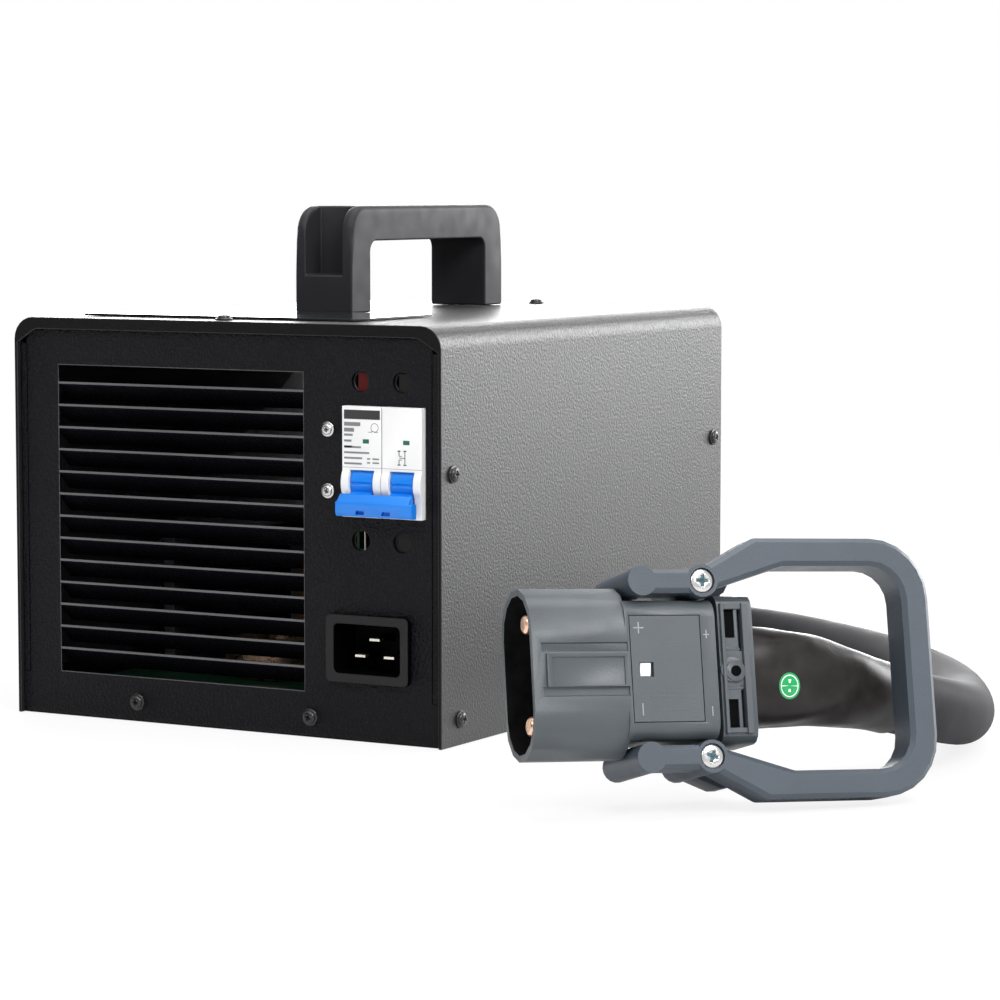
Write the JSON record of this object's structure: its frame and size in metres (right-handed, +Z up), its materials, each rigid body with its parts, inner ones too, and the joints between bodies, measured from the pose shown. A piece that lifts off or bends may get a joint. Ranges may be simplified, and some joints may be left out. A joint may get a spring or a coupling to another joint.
{
  "type": "battery charger",
  "caption": "Bench battery charger in a louvred steel case with carry handle, breaker, mains inlet and a battery plug with a D-handle on its output cable.",
  "frame": {"origin": "middle of the case's underside", "axes": "+Z up, -Y out of the louvred front panel, +X towards the breaker's side of the case"},
  "size_m": [0.5696, 0.624, 0.2057],
  "materials": {
    "powder_coat": "black textured powder coat",
    "handle_moulding": "dark grey moulding",
    "plug_moulding": "slate grey moulding",
    "plug_grip": "blue-grey moulding",
    "overlay": "gloss black overlay",
    "breaker_white": "white thermoset, smooth",
    "toggle_blue": "bright blue, smooth",
    "black_plastic": "black moulding",
    "plated_steel": "zinc or nickel plate",
    "black_screw": "blackened steel",
    "contact_copper": "bare copper alloy",
    "heatsink_aluminium": "mill finish extrusion",
    "board": "green solder mask",
    "ferrite": "sintered ferrite",
    "winding": "taped and varnished winding",
    "capacitor_sleeve": "shrunk sleeve on a can",
    "cable_jacket": "satin grey jacket",
    "shrink_sleeve": "black heat-shrink, semi-gloss",
    "key_white": "white moulding"
  },
  "bodies": {
    "charger": {"base_screw_1": "black_screw", "base_screw_2": "black_screw", "board_standoff_1": "plated_steel", "board_standoff_2": "plated_steel", "board_standoff_3": "plated_steel", "board_standoff_4": "plated_steel", "bracket_screw_1": "plated_steel", "bracket_screw_2": "plated_steel", "breaker_bracket": "plated_steel", "breaker_pole_left": "breaker_white", "breaker_pole_right": "breaker_white", "cable_clamp": "plug_moulding", "cable_gland": "black_plastic", "cable_sleeve": "shrink_sleeve", "capacitor_1": "capacitor_sleeve", "capacitor_2": "capacitor_sleeve", "capacitor_3": "capacitor_sleeve", "carry_handle": "handle_moulding", "chassis": "powder_coat", "coding_key": "key_white", "cover": "powder_coat", "display_overlay": "overlay", "fan_frame": "black_plastic", "fan_screw_1": "black_screw", "fan_screw_2": "black_screw", "fan_screw_3": "black_screw", "fan_screw_4": "black_screw", "gland_locknut": "black_plastic", "handle_screw_1": "plated_steel", "handle_screw_2": "plated_steel", "heatsink_left": "heatsink_aluminium", "heatsink_right": "heatsink_aluminium", "inlet_housing": "black_plastic", "inlet_pin_earth": "plated_steel", "inlet_pin_line": "plated_steel", "inlet_pin_neutral": "plated_steel", "main_pin_1": "contact_copper", "main_pin_2": "contact_copper", "output_cable": "cable_jacket", "output_choke": "contact_copper", "plug_body": "plug_moulding", "plug_handle": "plug_grip", "plug_label_plate": "plug_moulding", "power_board": "board", "side_screw_1": "black_screw", "side_screw_2": "black_screw", "side_screw_3": "black_screw", "side_screw_4": "black_screw", "side_screw_5": "black_screw", "side_screw_6": "black_screw", "side_screw_7": "black_screw", "side_screw_8": "black_screw", "top_screw_1": "black_screw", "top_screw_2": "black_screw", "transformer_core": "ferrite", "transformer_winding": "winding"},
    "toggle": {"breaker_toggle": "toggle_blue"},
    "fan": {"fan_rotor": "black_plastic"}
  },
  "joints": [
    {"name": "toggle_hinge", "type": "hinge", "parent": "charger", "child": "toggle", "pos_m": [0.0741, -0.1133, 0.1007], "axis": [-1, 0, 0], "range_deg": [0, 52]},
    {"name": "fan_spin", "type": "hinge", "parent": "charger", "child": "fan", "pos_m": [0.054, 0.1062, 0.082], "axis": [0, 1, 0], "continuous": true}
  ]
}
